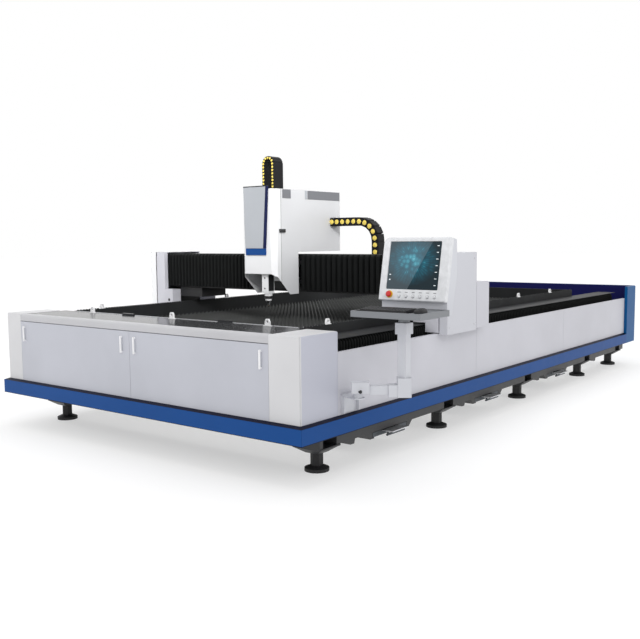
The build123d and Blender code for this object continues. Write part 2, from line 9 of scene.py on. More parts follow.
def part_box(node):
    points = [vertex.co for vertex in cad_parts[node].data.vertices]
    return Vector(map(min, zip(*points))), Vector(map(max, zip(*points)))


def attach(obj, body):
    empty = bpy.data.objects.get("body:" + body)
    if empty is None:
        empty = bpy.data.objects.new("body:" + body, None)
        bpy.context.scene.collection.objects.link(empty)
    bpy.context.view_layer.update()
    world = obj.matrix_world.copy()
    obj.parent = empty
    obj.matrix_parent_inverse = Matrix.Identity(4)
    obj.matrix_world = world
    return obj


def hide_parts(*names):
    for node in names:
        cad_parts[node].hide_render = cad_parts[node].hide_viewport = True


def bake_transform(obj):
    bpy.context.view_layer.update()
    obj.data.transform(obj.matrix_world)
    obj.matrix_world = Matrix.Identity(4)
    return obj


# Looks of the fiber laser cutting machine. Lengths in the helpers are millimetres in
# the machine's own frame; SHIFT moves them into the row frame, as the source does.

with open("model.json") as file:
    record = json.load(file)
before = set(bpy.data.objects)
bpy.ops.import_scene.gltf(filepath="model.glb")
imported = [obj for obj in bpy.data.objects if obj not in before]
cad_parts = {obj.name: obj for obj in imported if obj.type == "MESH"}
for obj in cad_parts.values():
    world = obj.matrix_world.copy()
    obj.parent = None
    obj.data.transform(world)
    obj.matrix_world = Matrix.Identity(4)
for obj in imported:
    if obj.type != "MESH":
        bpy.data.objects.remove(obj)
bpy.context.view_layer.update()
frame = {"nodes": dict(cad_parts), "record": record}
nodes = frame["nodes"]
SHIFT = 242.0

# Places that several pieces share
BED_START = -2464
BED_STOP = 1834
SLAT_LOW = 650
SLAT_HIGH = 750
BED_WALL_TOP = 849
NOSE_FACE = -1637
HEAD_X = -1562
HEAD_Y = -48
END_COVER_FACE = -1500
STEP_BLOCK_FACE = -1385
SHELF_TOP = 974
CONSOLE_MIDDLE = -1750
BEZEL_FACE = 28
BUTTON_ROW = 27
BUTTON_PLACES = [-83 + 47 * n for n in range(6)]

# Bounds of painted areas, in metres in the row frame
MIDDLE = SHIFT / 1000
cover_low, cover_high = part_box("corner_covers")
# These bounds mark the corner covers' sides, which get painted shade.
OUTER_FACE = cover_high[1] - MIDDLE - 0.004
FRONT_FACE = cover_low[0] + 0.012
THROAT_MIDDLE = 0.232
THROAT_HALF = 0.1672
THROAT_TOP = 1.755
THROAT_BACK = -0.819
SKIRT_SLOPE_FOOT = 0.3463
SKIRT_LIP_TOP = 0.2535
REAR_INNER_SIDE = 1.4205
REAR_INNER_FRONT = 2.8405
TRAY_PAN_FRONT = -1.09
TRAY_FLANGE_LOW = 0.1435


def at(x, y, z):
    """A point of the machine, in metres, in the row frame."""
    return Vector((x / 1000, (y + SHIFT) / 1000, z / 1000))


# Materials


def new_material(name):
    mat = bpy.data.materials.new(name)
    mat.use_nodes = True
    tree = mat.node_tree
    return mat, tree, tree.nodes["Principled BSDF"]


def noise(tree, scale, detail=3.0, stretch=None):
    """Noise in object space, stretched along one axis if asked."""
    where = tree.nodes.new("ShaderNodeTexCoord")
    tex = tree.nodes.new("ShaderNodeTexNoise")
    tex.inputs["Scale"].default_value = scale
    tex.inputs["Detail"].default_value = detail
    if stretch is None:
        tree.links.new(where.outputs["Object"], tex.inputs["Vector"])
    else:
        mapping = tree.nodes.new("ShaderNodeMapping")
        mapping.inputs["Scale"].default_value = stretch
        tree.links.new(where.outputs["Object"], mapping.inputs["Vector"])
        tree.links.new(mapping.outputs["Vector"], tex.inputs["Vector"])
    return tex.outputs["Fac"]


def ramp(tree, source, stops):
    """Colours at places along a value."""
    node = tree.nodes.new("ShaderNodeValToRGB")
    while len(node.color_ramp.elements) < len(stops):
        node.color_ramp.elements.new(0.5)
    for element, (place, color) in zip(node.color_ramp.elements, stops):
        element.position = place
        element.color = (*color, 1) if len(color) == 3 else color
    tree.links.new(source, node.inputs["Fac"])
    return node.outputs["Color"]


def spread(tree, source, low, high):
    """A value from nought to one, mapped to low and high."""
    node = tree.nodes.new("ShaderNodeMapRange")
    node.inputs["To Min"].default_value = low
    node.inputs["To Max"].default_value = high
    tree.links.new(source, node.inputs["Value"])
    return node.outputs["Result"]


def bump(tree, bsdf, height, strength, distance, edge=0.0):
    """Surface relief, over edges that catch the light as if rounded."""
    node = tree.nodes.new("ShaderNodeBump")
    node.inputs["Strength"].default_value = strength
    node.inputs["Distance"].default_value = distance
    tree.links.new(height, node.inputs["Height"])
    if edge:
        soft = tree.nodes.new("ShaderNodeBevel")
        soft.samples = 4
        soft.inputs["Radius"].default_value = edge
        tree.links.new(soft.outputs["Normal"], node.inputs["Normal"])
    tree.links.new(node.outputs["Normal"], bsdf.inputs["Normal"])


def shade(color, k):
    """The colour k times as bright."""
    return tuple(min(1.0, c * k) for c in color)


def painted(name, color, rough=0.35, peel=0.05, vary=0.04, coat=0.0, edge=0.002, metallic=0.0,
            shine=0.4):
    """Powder coat or paint: fine orange peel and a slow change of tone and gloss."""
    mat, tree, bsdf = new_material(name)
    bsdf.inputs["Specular IOR Level"].default_value = shine
    slow = noise(tree, 2.2)
    low, high = shade(color, 1 - vary), shade(color, 1 + vary)
    tree.links.new(ramp(tree, slow, [(0.3, low), (0.7, high)]), bsdf.inputs["Base Color"])
    tree.links.new(spread(tree, noise(tree, 14, 4), rough * 0.85, rough * 1.15), bsdf.inputs["Roughness"])
    bsdf.inputs["Metallic"].default_value = metallic
    bsdf.inputs["Coat Weight"].default_value = coat
    bsdf.inputs["Coat Roughness"].default_value = 0.12
    bump(tree, bsdf, noise(tree, 420, 2), peel, 0.0006, edge)
    return mat


def steel(name, color, rough=0.3, grain=(1, 60, 60), strength=0.12, vary=0.2, edge=0.0):
    """Bare metal with a drawn or ground grain."""
    mat, tree, bsdf = new_material(name)
    lines = noise(tree, 24, 5, grain)
    stops = [(0.25, shade(color, 1 - vary)), (0.75, shade(color, 1 + vary))]
    tree.links.new(ramp(tree, lines, stops), bsdf.inputs["Base Color"])
    tree.links.new(spread(tree, lines, rough * 0.7, rough * 1.4), bsdf.inputs["Roughness"])
    bsdf.inputs["Metallic"].default_value = 1.0
    bump(tree, bsdf, lines, strength, 0.0004, edge)
    return mat


def plastic(name, color, rough=0.4, grain=900, strength=0.08, vary=0.08, coat=0.0, edge=0.0,
            shine=0.4):
    """Moulded plastic with a fine eroded texture."""
    mat, tree, bsdf = new_material(name)
    bsdf.inputs["Specular IOR Level"].default_value = shine
    stops = [(0.3, shade(color, 1 - vary)), (0.7, shade(color, 1 + vary))]
    tree.links.new(ramp(tree, noise(tree, 30, 3), stops), bsdf.inputs["Base Color"])
    tree.links.new(spread(tree, noise(tree, 60, 4), rough * 0.85, rough * 1.2), bsdf.inputs["Roughness"])
    bsdf.inputs["Coat Weight"].default_value = coat
    bump(tree, bsdf, noise(tree, grain, 2), strength, 0.0003, edge)
    return mat


def cloth(name, color, rough=0.7):
    """Coated fabric: a fine plain weave with a soft sheen."""
    mat, tree, bsdf = new_material(name)
    where = tree.nodes.new("ShaderNodeTexCoord")
    wave = tree.nodes.new("ShaderNodeTexWave")
    wave.inputs["Scale"].default_value = 260
    wave.inputs["Distortion"].default_value = 0.4
    tree.links.new(where.outputs["Object"], wave.inputs["Vector"])
    stops = [(0.2, shade(color, 0.8)), (0.8, shade(color, 1.25))]
    tree.links.new(ramp(tree, noise(tree, 9, 4), stops), bsdf.inputs["Base Color"])
    bsdf.inputs["Roughness"].default_value = rough
    bsdf.inputs["Specular IOR Level"].default_value = 0.1
    bsdf.inputs["Sheen Weight"].default_value = 0.03
    bsdf.inputs["Sheen Roughness"].default_value = 0.4
    bump(tree, bsdf, wave.outputs["Fac"], 0.12, 0.0003)
    return mat


def place(tree):
    """The row frame's x, y and z at the shaded point."""
    where = tree.nodes.new("ShaderNodeTexCoord")
    split = tree.nodes.new("ShaderNodeSeparateXYZ")
    tree.links.new(where.outputs["Object"], split.inputs["Vector"])
    return split.outputs


def math_node(tree, kind, a, b=None):
    """One step of arithmetic on sockets or numbers."""
    node = tree.nodes.new("ShaderNodeMath")
    node.operation = kind
    for socket, value in zip(node.inputs, (a, b)):
        if isinstance(value, (int, float)):
            socket.default_value = value
        elif value is not None:
            tree.links.new(value, socket)
    return node.outputs[0]


def paint_over(mat, mask, color):
    """A second colour wherever mask is one."""
    tree = mat.node_tree
    socket = tree.nodes["Principled BSDF"].inputs["Base Color"]
    under = socket.links[0].from_socket
    mix = tree.nodes.new("ShaderNodeMix")
    mix.data_type = "RGBA"
    tree.links.new(mask(tree), mix.inputs["Factor"])
    tree.links.new(under, mix.inputs["A"])
    mix.inputs["B"].default_value = (*color, 1)
    tree.links.new(mix.outputs["Result"], socket)
    return mat


def shelf_mask(tree):
    """The skirt's sloping shelf and its lower lip."""
    z = place(tree)["Z"]
    return math_node(tree, "MAXIMUM", math_node(tree, "GREATER_THAN", z, SKIRT_SLOPE_FOOT),
                     math_node(tree, "LESS_THAN", z, SKIRT_LIP_TOP))


def inner_mask(tree):
    """The faces of the rear end that look in over the bed."""
    x, y = place(tree)["X"], place(tree)["Y"]
    across = math_node(tree, "ABSOLUTE", math_node(tree, "SUBTRACT", y, MIDDLE))
    return math_node(tree, "MULTIPLY", math_node(tree, "LESS_THAN", across, REAR_INNER_SIDE),
                     math_node(tree, "LESS_THAN", x, REAR_INNER_FRONT))


def shaded_flank_mask(tree):
    """The side faces of the two corner covers, which are painted darker than the fronts as painted shade.
    """
    x, y = place(tree)["X"], place(tree)["Y"]
    across = math_node(tree, "ABSOLUTE", math_node(tree, "SUBTRACT", y, MIDDLE))
    return math_node(tree, "MULTIPLY", math_node(tree, "GREATER_THAN", across, OUTER_FACE),
                     math_node(tree, "GREATER_THAN", x, FRONT_FACE))


def near_shade_mask(tree):
    """One on the near half of the machine, nought on the far half: where the end covers are painted
    darker as painted shade.
    """
    return math_node(tree, "LESS_THAN", place(tree)["Y"], MIDDLE)


def throat_mask(tree):
    """The inner faces of the carriage's cheeks, round the head."""
    spot = place(tree)
    across = math_node(tree, "ABSOLUTE", math_node(tree, "SUBTRACT", spot["Y"], THROAT_MIDDLE))
    low = math_node(tree, "LESS_THAN", spot["Z"], THROAT_TOP)
    inside = math_node(tree, "MULTIPLY", math_node(tree, "LESS_THAN", across, THROAT_HALF), low)
    return math_node(tree, "MULTIPLY", inside, math_node(tree, "LESS_THAN", spot["X"], THROAT_BACK))


# The white paints are one paint on the real machine. Their tones differ by part and by side,
# fitted to the photograph's light, so they look like separate paints in other light.

NAVY_TONE = (0.009, 0.010, 0.085)
# The corner covers' sides take this darker tone as painted shade.
SHADED_SIDE_TONE = (0.47, 0.48, 0.55)
WHITE = painted("paint_white", (0.53, 0.53, 0.575), rough=0.42, edge=0.003)
# The front panels take a darker copy of the white paint: painted shade.
SHADED_FRONT_WHITE = painted("paint_front_shaded", (0.455, 0.465, 0.515), rough=0.42, edge=0.003)
# The nose cover takes a brighter copy of the white paint: painted light.
LIT_BRIGHT_WHITE = painted("paint_bright_lit", (0.75, 0.755, 0.765), rough=0.4, edge=0.003)
# The end covers take a brighter copy of the white paint, painted light, and a darker tone on their near
# half, painted shade.
END_WHITE = paint_over(painted("paint_end", (0.77, 0.775, 0.785), rough=0.4, edge=0.003),
                       near_shade_mask, (0.52, 0.525, 0.565))
CARRIAGE_WHITE = paint_over(painted("paint_carriage", (0.60, 0.605, 0.62), rough=0.4, edge=0.003),
                            throat_mask, (0.035, 0.036, 0.038))
# The corner covers' sides are painted darker than their fronts: painted shade.
COVER = paint_over(painted("paint_cover", (0.59, 0.59, 0.605), rough=0.38, edge=0.004),
                   shaded_flank_mask, SHADED_SIDE_TONE)
PEARL = painted("paint_rim", (0.46, 0.46, 0.48), rough=0.32, edge=0.004)
BLUE = painted("paint_blue", (0.008, 0.060, 0.23), rough=0.4, edge=0.003, shine=0.12)
SKIRT = paint_over(painted("paint_skirt", (0.008, 0.062, 0.235), rough=0.4, edge=0.003, shine=0.1),
                   shelf_mask, (0.002, 0.003, 0.018))
REAR = paint_over(painted("paint_rear", (0.003, 0.080, 0.24), rough=0.4, edge=0.003, shine=0.12),
                  inner_mask, NAVY_TONE)
NAVY = painted("paint_navy", (0.006, 0.010, 0.055), rough=0.4, edge=0.002, shine=0.15)
BAND = painted("band_grey", (0.16, 0.165, 0.18), rough=0.4)
GREY_RAIL = painted("paint_rail", (0.035, 0.036, 0.038), rough=0.45, edge=0.003)
BLACK = painted("paint_black", (0.012, 0.012, 0.013), rough=0.45, edge=0.002)
SILVER = painted("paint_silver", (0.42, 0.44, 0.47), rough=0.34, metallic=0.35, edge=0.003)
CAP = painted("paint_cap", (0.030, 0.031, 0.033), rough=0.5, edge=0.001, shine=0.12)
DECK = painted("deck_coat", (0.036, 0.037, 0.040), rough=0.15, peel=0.02, edge=0.001, shine=0.10)
BED = painted("bed_coat", (0.022, 0.023, 0.024), rough=0.6, vary=0.2, edge=0.001, shine=0.15)
SLAT = painted("slat_scale", (0.072, 0.074, 0.073), rough=0.55, vary=0.1, edge=0.0, shine=0.2)
LUG = painted("lug_white", (0.82, 0.82, 0.83), rough=0.35)
BRIGHT = steel("bright_metal", (0.60, 0.61, 0.63), rough=0.25, edge=0.001)
GUIDE = steel("guide_metal", (0.35, 0.36, 0.38), rough=0.28)


def flange_mask(tree):
    """The part of a slag tray that shows in front of its pan."""
    y, z = place(tree)["Y"], place(tree)["Z"]
    return math_node(tree, "MULTIPLY", math_node(tree, "LESS_THAN", y, TRAY_PAN_FRONT),
                     math_node(tree, "GREATER_THAN", z, TRAY_FLANGE_LOW))


TRAY = paint_over(steel("tray_metal", (0.10, 0.11, 0.12), rough=0.45, grain=(60, 1, 60)),
                  flange_mask, (0.75, 0.76, 0.78))
RUBBER = plastic("foot_rubber", (0.012, 0.012, 0.013), rough=0.6, grain=300)
BELLOWS = cloth("bellows_cloth", (0.0050, 0.0056, 0.0056))
CHAIN = plastic("chain_nylon", (0.010, 0.010, 0.011), rough=0.5, shine=0.15)
HANDLE = plastic("handle_nylon", (0.02, 0.02, 0.022), rough=0.4, edge=0.001)
CONSOLE_WHITE = plastic("console_white", (0.64, 0.65, 0.67), rough=0.3, coat=0.3, edge=0.002)
CONSOLE_GREY = painted("console_grey", (0.20, 0.21, 0.225), rough=0.4, edge=0.002)
ARM_WHITE = painted("arm_white", (0.56, 0.57, 0.61), rough=0.38, edge=0.003)
KEYS = plastic("key_plastic", (0.012, 0.012, 0.014), rough=0.45)
RED = plastic("stop_red", (0.55, 0.012, 0.010), rough=0.3, coat=0.4)
YELLOW = plastic("ring_yellow", (0.72, 0.42, 0.02), rough=0.4)
STUD = plastic("stud_yellow", (0.80, 0.62, 0.12), rough=0.4)
BUTTON = painted("button_white", (0.66, 0.67, 0.69), rough=0.3, metallic=0.1)
HEAD = painted("head_white", (0.82, 0.825, 0.835), rough=0.25, coat=0.3, edge=0.001)
BRASS = steel("nozzle_brass", (0.62, 0.42, 0.18), rough=0.2, grain=(1, 1, 60), vary=0.08)


def screen_glass():
    """Dark glass over a generic picture: a teal glow with fine rays and a slanting painted sheen, a
    painted reflection.
    """
    mat, tree, bsdf = new_material("screen_glass")
    y, z = place(tree)["Y"], place(tree)["Z"]
    side = math_node(tree, "DIVIDE", math_node(tree, "SUBTRACT", -1.508, y), 0.172)
    rise = math_node(tree, "DIVIDE", math_node(tree, "SUBTRACT", z, 1.219), 0.14)
    dx = math_node(tree, "ADD", side, 0.12)
    dy = math_node(tree, "SUBTRACT", rise, 0.25)
    far = math_node(tree, "SQRT", math_node(tree, "ADD", math_node(tree, "MULTIPLY", dx, dx),
                                            math_node(tree, "MULTIPLY", dy, dy)))
    cells = tree.nodes.new("ShaderNodeTexVoronoi")
    cells.inputs["Scale"].default_value = 38
    where = tree.nodes.new("ShaderNodeTexCoord")
    tree.links.new(where.outputs["Object"], cells.inputs["Vector"])
    turn = math_node(tree, "ARCTAN2", dy, dx)
    rays = math_node(tree, "ABSOLUTE", math_node(tree, "SINE", math_node(tree, "MULTIPLY", turn, 23.0)))
    fine = math_node(tree, "MULTIPLY", math_node(tree, "SUBTRACT", 0.8, cells.outputs["Distance"]), rays)
    glow = math_node(tree, "SUBTRACT", 1.0, math_node(tree, "MULTIPLY", far, 0.95))
    level = math_node(tree, "MULTIPLY", math_node(tree, "MAXIMUM", glow, 0.0),
                      math_node(tree, "ADD", 0.35, fine))
    picture = ramp(tree, level, [(0.0, (0.012, 0.022, 0.028)), (0.35, (0.015, 0.09, 0.13)),
                                 (0.7, (0.05, 0.30, 0.38)), (1.0, (0.30, 0.62, 0.68))])
    # Painted reflection: a slanting band of sheen is added to the picture's colour and its glow.
    slant = math_node(tree, "SUBTRACT", math_node(tree, "MULTIPLY", rise, 0.42), side)
    sheen = math_node(tree, "MULTIPLY", math_node(tree, "GREATER_THAN", slant, -0.18), 0.055)
    bright = tree.nodes.new("ShaderNodeMix")
    bright.data_type = "RGBA"
    bright.blend_type = "ADD"
    bright.inputs["B"].default_value = (0.75, 0.9, 1.0, 1)
    tree.links.new(sheen, bright.inputs["Factor"])
    tree.links.new(picture, bright.inputs["A"])
    tree.links.new(bright.outputs["Result"], bsdf.inputs["Base Color"])
    tree.links.new(bright.outputs["Result"], bsdf.inputs["Emission Color"])
    bsdf.inputs["Emission Strength"].default_value = 0.18
    bsdf.inputs["Specular IOR Level"].default_value = 0.12
    tree.links.new(spread(tree, noise(tree, 40), 0.08, 0.15), bsdf.inputs["Roughness"])
    return mat


GLASS = screen_glass()
MARK = plastic("screen_mark", (0.75, 0.82, 0.85), rough=0.5)

LOOKS = {
    "skirt_blue": SKIRT, "panel_white": WHITE, "cover_white": COVER, "rail_grey": GREY_RAIL,
    "frame_black": BLACK, "foot_black": RUBBER, "bed_dark": BED, "slat_steel": SLAT,
    "guide_steel": GUIDE, "deck_grey": DECK, "trim_silver": SILVER, "handle_white": COVER,
    "latch_black": HANDLE, "bellows_black": BELLOWS, "cap_grey": CAP, "chain_black": CHAIN,
    "head_white": HEAD, "nozzle_metal": BRASS, "tray_steel": TRAY, "arm_white": ARM_WHITE,
    "console_grey": CONSOLE_GREY, "bezel_white": CONSOLE_WHITE, "screen_glass": GLASS,
    "key_black": KEYS, "stop_red": RED, "ring_yellow": YELLOW, "button_grey": BRIGHT,
}
for part in frame["record"]["subparts"]:
    thing = nodes[part["node"]]
    thing.data.materials.clear()
    thing.data.materials.append(LOOKS[part["material_slot"]])
for node, look in (("rear_shell", REAR), ("front_rim", PEARL), ("lifting_eyes", LUG),
                   ("panel_handles", LUG), ("carriage_cover", CARRIAGE_WHITE),
                   ("front_panels", SHADED_FRONT_WHITE), ("console_housing", ARM_WHITE),
                   ("nose_cover", LIT_BRIGHT_WHITE), ("end_covers", END_WHITE)):
    nodes[node].data.materials[0] = look


# Mesh building


class Form:
    """A mesh gathered face by face in machine millimetres, with a look for each face."""

    def __init__(self, name):
        self.name = name
        self.points = []
        self.faces = []
        self.looks = []

    def add(self, points, faces, look=0):
        base = len(self.points)
        self.points += points
        self.faces += [[base + n for n in face] for face in faces]
        self.looks += [look] * len(faces)

    def slab(self, low, high, ease=1.0, look=0, put=None):
        """A box with all its edges taken off by ease."""
        ends = list(zip(low, high))
        points = []
        for corner in itertools.product((0, 1), repeat=3):
            for flat in range(3):
                point = [ends[a][corner[a]] for a in range(3)]
                for a in range(3):
                    if a != flat:
                        point[a] += ease * (1 - 2 * corner[a])
                points.append(tuple(point))
        faces = [[3 * k, 3 * k + 1, 3 * k + 2] for k in range(8)]
        for a, b, c in ((0, 1, 2), (1, 2, 0), (2, 0, 1)):
            step = [4, 2, 1]
            for side in (0, step[a]):
                ring = [side, side + step[b], side + step[b] + step[c], side + step[c]]
                faces.append([3 * k + a for k in ring])
            for k in (0, step[b], step[c], step[b] + step[c]):
                faces.append([3 * k + b, 3 * (k + step[a]) + b, 3 * (k + step[a]) + c, 3 * k + c])
        if put:
            points = [put(*p) for p in points]
        self.add(points, faces, look)

    def rings(self, loops, look=0, closed=False, caps=True):
        """Faces between loops of the same number of points; looks may differ by band."""
        count = len(loops[0])
        points = [p for loop in loops for p in loop]
        spans = len(loops) if closed else len(loops) - 1
        base = len(self.points)
        self.points += points
        for k in range(spans):
            a, b = k * count, (k + 1) % len(loops) * count
            for n in range(count):
                m = (n + 1) % count
                self.faces.append([base + a + n, base + a + m, base + b + m, base + b + n])
                self.looks.append(look[k] if isinstance(look, (list, tuple)) else look)
        if caps and not closed:
            last = base + (len(loops) - 1) * count
            self.faces += [[base + n for n in range(count)], [last + n for n in range(count)]]
            ends = (look[0], look[-1]) if isinstance(look, (list, tuple)) else (look, look)
            self.looks += ends

    def prism(self, outline, put, a, b, look=0):
        """An outline of (u, v) points carried from a to b."""
        self.rings([[put(u, v, w) for u, v in outline] for w in (a, b)], look)

    def lathe(self, profile, put, sides=32, look=0):
        """(radius, height) points turned about put's own third axis."""
        loops = []
        for radius, height in profile:
            turn = [2 * math.pi * n / sides for n in range(sides)]
            loops.append([put(radius * math.cos(t), radius * math.sin(t), height) for t in turn])
        self.rings(loops, look)

    def make(self, looks, body, slot, stands_for=(), angle=35):
        """The finished object, riding on a body if one is given."""
        mesh = bpy.data.meshes.new(self.name)
        mesh.from_pydata([at(*p) for p in self.points], [], self.faces)
        for look in looks:
            mesh.materials.append(look)
        mesh.polygons.foreach_set("material_index", self.looks)
        shape = bmesh.new()
        shape.from_mesh(mesh)
        bmesh.ops.recalc_face_normals(shape, faces=shape.faces)
        shape.to_mesh(mesh)
        shape.free()
        mesh.polygons.foreach_set("use_smooth", [True] * len(mesh.polygons))
        mesh.set_sharp_from_angle(angle=math.radians(angle))
        thing = bpy.data.objects.new(self.name, mesh)
        bpy.context.scene.collection.objects.link(thing)
        if body:
            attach(thing, body)
        if stands_for:
            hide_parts(*stands_for)
        return thing


def facing_front(x, y, z):
    """Local axes for a round piece at (x, y, z) that points to -X."""
    return lambda u, v, w: (x - w, y + u, z + v)


def facing_near(x, y, z):
    """Local axes for a round piece at (x, y, z) that points to -Y."""
    return lambda u, v, w: (x + u, y - w, z + v)


def upright(x, y):
    """Local axes for a round piece that stands on (x, y)."""
    return lambda u, v, w: (x + u, y + v, w)


def mirrored(put):
    """The same place on the far side."""
    def other(u, v, w):
        x, y, z = put(u, v, w)
        return (x, -y, z)
    return other


def button_head(radius, height, ease):
    """Profile of a small cap with a softened rim."""
    return [(0.01, height), (radius - ease, height), (radius - 0.3 * ease, height - 0.3 * ease),
            (radius, height - ease), (radius, 0), (0.01, 0)]


# Bed


PLEAT = ((0.0, 0.0), (0.10, 0.5), (0.22, 0.9), (0.45, 1.0), (0.74, 0.96), (0.90, 0.5))


def pleated(name, put, start, stop, count, low, high, depth, back):
    """A pleated cover from start to stop, its pleats closing towards the top edge."""
    rows = [(low, 1.0), (high - 32, 1.0), (high - 14, 0.85), (high - 5, 0.5), (high, 0.15)]
    step = (stop - start) / count
    form = Form(name)
    loops = []
    places = [(start + (n + t) * step, d) for n in range(count) for t, d in PLEAT] + [(stop, 0.0)]
    for s, d in places:
        loop = [put(s, back + (depth - back) * (0.12 + 0.88 * d * share), z) for z, share in rows]
        loops.append(loop + [put(s, back, high), put(s, back, low)])
    form.rings(loops)
    return form


def bed_bellows():
    """The four pleated covers beside the guides, which stretch as the gantry travels on the machine; here
    they are drawn in one place.
    """
    inner, outer = 1285, 1323
    for side, name in ((-1, "near"), (1, "far")):
        put = (lambda s, d, z, side=side: (s, side * d, z))
        for part, start, stop, count in (("front", -2573, -1345, 42), ("rear", 2500, -760, 112)):
            form = pleated(f"bellows_{part}_{name}", put, start, stop, count, 560, 783, outer, inner)
            cover = form.make([BELLOWS], None, "bellows_black", (f"x_bellows_{part}_{name}",), 28)
            at(start, 0, 700)
            at(stop, 0, 700)
            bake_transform(cover)


def beam_bellows():
    """The two pleated covers in front of the beam."""
    put = (lambda s, d, z: (-d, s, z))
    for name, start, stop, count in (("near", -1325, -182, 23), ("far", 1325, 162, 29)):
        form = pleated(f"beam_cover_{name}", put, start, stop, count, 985, 1266, 1345, 1303)
        cover = form.make([BELLOWS], None, "bellows_black", (f"beam_bellows_{name}",), 28)
        at(-1320, start, 1100)
        at(-1320, stop, 1100)
        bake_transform(cover)


def slats():
    """Thin upright slats with a fine sawtooth edge, on three cross bars."""
    form = Form("slats")
    start, stop, half = BED_START, BED_STOP, 1114
    low, high, tooth = SLAT_LOW, SLAT_HIGH, 28
    sheet = 1.5
    count = 90
    teeth = 57
    pitch = (stop - start) / count
    ridge = []
    for n in range(teeth):
        y = -half + 2 * half * n / teeth
        ridge += [(y, high - tooth), (y + half / teeth, high)]
    ridge.append((half, high - tooth))
    last = len(ridge) - 1
    for n in range(count):
        x = start + (n + 0.5) * pitch
        points = []
        for side in (-sheet, sheet):
            points += [(x + side, y, low) for y, z in ridge] + [(x + side, y, z) for y, z in ridge]
        m = len(ridge)
        faces = []
        for k in range(last):
            faces.append([k, k + 1, m + k + 1, m + k])
            faces.append([2 * m + k, 2 * m + k + 1, 3 * m + k + 1, 3 * m + k])
            faces.append([m + k, m + k + 1, 3 * m + k + 1, 3 * m + k])
            faces.append([k, k + 1, 2 * m + k + 1, 2 * m + k])
        for k in (0, last):
            faces.append([k, m + k, 3 * m + k, 2 * m + k])
        form.add(points, faces)
    for y in (-half + 6, 0, half - 6):
        form.slab((start, y - 6, low - 60), (stop, y + 6, low), 1)
    form.make([SLAT], "bed", "slat_steel", ("slat_grid",), 20)


def bed_edges():
    """Comb strips on the long walls of the bed and the bright strips round it."""
    comb = Form("bed_comb")
    start, stop = BED_START, BED_STOP
    count = 160
    low, high = BED_WALL_TOP, BED_WALL_TOP + 7
    pitch = (stop - start) / count
    for side in (-1, 1):
        y0, y1 = sorted((side * 1122, side * 1126))
        for n in range(count):
            x = start + n * pitch
            tooth = [(x + 2, low), (x + 5, high), (x + pitch - 7, high), (x + pitch - 4, low)]
            comb.prism(tooth, lambda u, v, w: (u, w, v), y0, y1)
    comb.make([BED], "bed", "bed_dark")
    trim = Form("bed_trim")
    trim.slab((start, -1119, low), (stop, -1114, low + 3.5), 0.8)
    for y0, y1 in ((-1095, -552), (-422, 412), (542, 1095)):
        trim.slab((-2490, y0, low - 1), (-2480, y1, low + 2.5), 0.8)
    trim.make([BRIGHT], "bed", "slat_steel")


# Gantry and carriage


def walk(parts, step):
    """Points a step apart along straight runs and arcs given as (function, length)."""
    total = sum(size for _, size in parts)
    count = round(total / step)
    points = []
    for n in range(count + 1):
        s = total * n / count
        for place, size in parts:
            if s <= size + 1e-6:
                points.append(place(s))
                break
            s -= size
    return points


def drag_chain(form, points, x, width, tall, dot):
    """Links along (y, z) points: a waisted body, two side plates and a yellow stud each side."""
    for (y0, z0), (y1, z1) in zip(points, points[1:]):
        reach = math.hypot(y1 - y0, z1 - z0)
        c, s = (y1 - y0) / reach, (z1 - z0) / reach
        mid_y, mid_z = (y0 + y1) / 2, (z0 + z1) / 2
        put = (lambda u, v, w, c=c, s=s, y=mid_y, z=mid_z: (x + u, y + v * c - w * s, z + v * s + w * c))
        half, long, rise = width / 2, reach / 2, tall / 2
        form.slab((-half + 5, -long * 1.06, -rise * 0.95), (half - 5, long * 1.06, rise * 0.95),
                  tall * 0.04, 0, put)
        for side in (-1, 1):
            near, far = sorted((side * (half - 6), side * half))
            form.slab((near, -long * 1.1, -rise), (far, long * 1.02, rise), tall * 0.05, 0, put)
            stud = (lambda u, v, w, side=side, put=put: put(side * (half + w), u, v))
            form.lathe(button_head(dot, 2.5, 1.2), stud, 20, 1)


def y_chain():
    """The chain from the carriage's back, down behind the beam."""
    y0, y_bend, radius = -216, -464, 150
    z_top, z_low = 1518, 1000
    quarter = radius * math.pi / 2
    parts = [
        (lambda s: (y0 - s, z_top), y0 - y_bend),
        (lambda s: (y_bend - radius * math.sin(s / radius),
                    z_top - radius + radius * math.cos(s / radius)), quarter),
        (lambda s: (y_bend - radius, z_top - radius - s), z_top - z_low - 2 * radius),
        (lambda s: (y_bend - radius * math.cos(s / radius),
                    z_low + radius - radius * math.sin(s / radius)), quarter),
        (lambda s: (y_bend + s, z_low), 760),
    ]
    form = Form("cross_chain")
    drag_chain(form, walk(parts, 54), -900, 88, 66, 19)
    form.slab((-950, y0 - 8, z_top - 34), (-850, -180.5, z_top + 34), 3)
    form.lathe(button_head(19, 2.5, 1.2), lambda u, v, w: (-950 - w, y0 + 18 + u, z_top + v), 20, 1)
    chain = form.make([CHAIN, STUD], None, "chain_black", ("y_chain",))
    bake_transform(chain)


def z_chain():
    """The chain that arches over the carriage's top."""
    y_mid, radius, z_mid, z_foot = -96, 45, 1946, 1642
    leg = z_mid - z_foot
    parts = [
        (lambda s: (y_mid - radius, z_foot + s), leg),
        (lambda s: (y_mid - radius * math.cos(s / radius), z_mid + radius * math.sin(s / radius)),
         math.pi * radius),
        (lambda s: (y_mid + radius, z_mid - s), leg),
    ]
    form = Form("lift_chain")
    drag_chain(form, walk(parts, 24), -1550, 110, 24, 8.5)
    chain = form.make([CHAIN, STUD], None, "chain_black", ("z_chain",))
    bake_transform(chain)


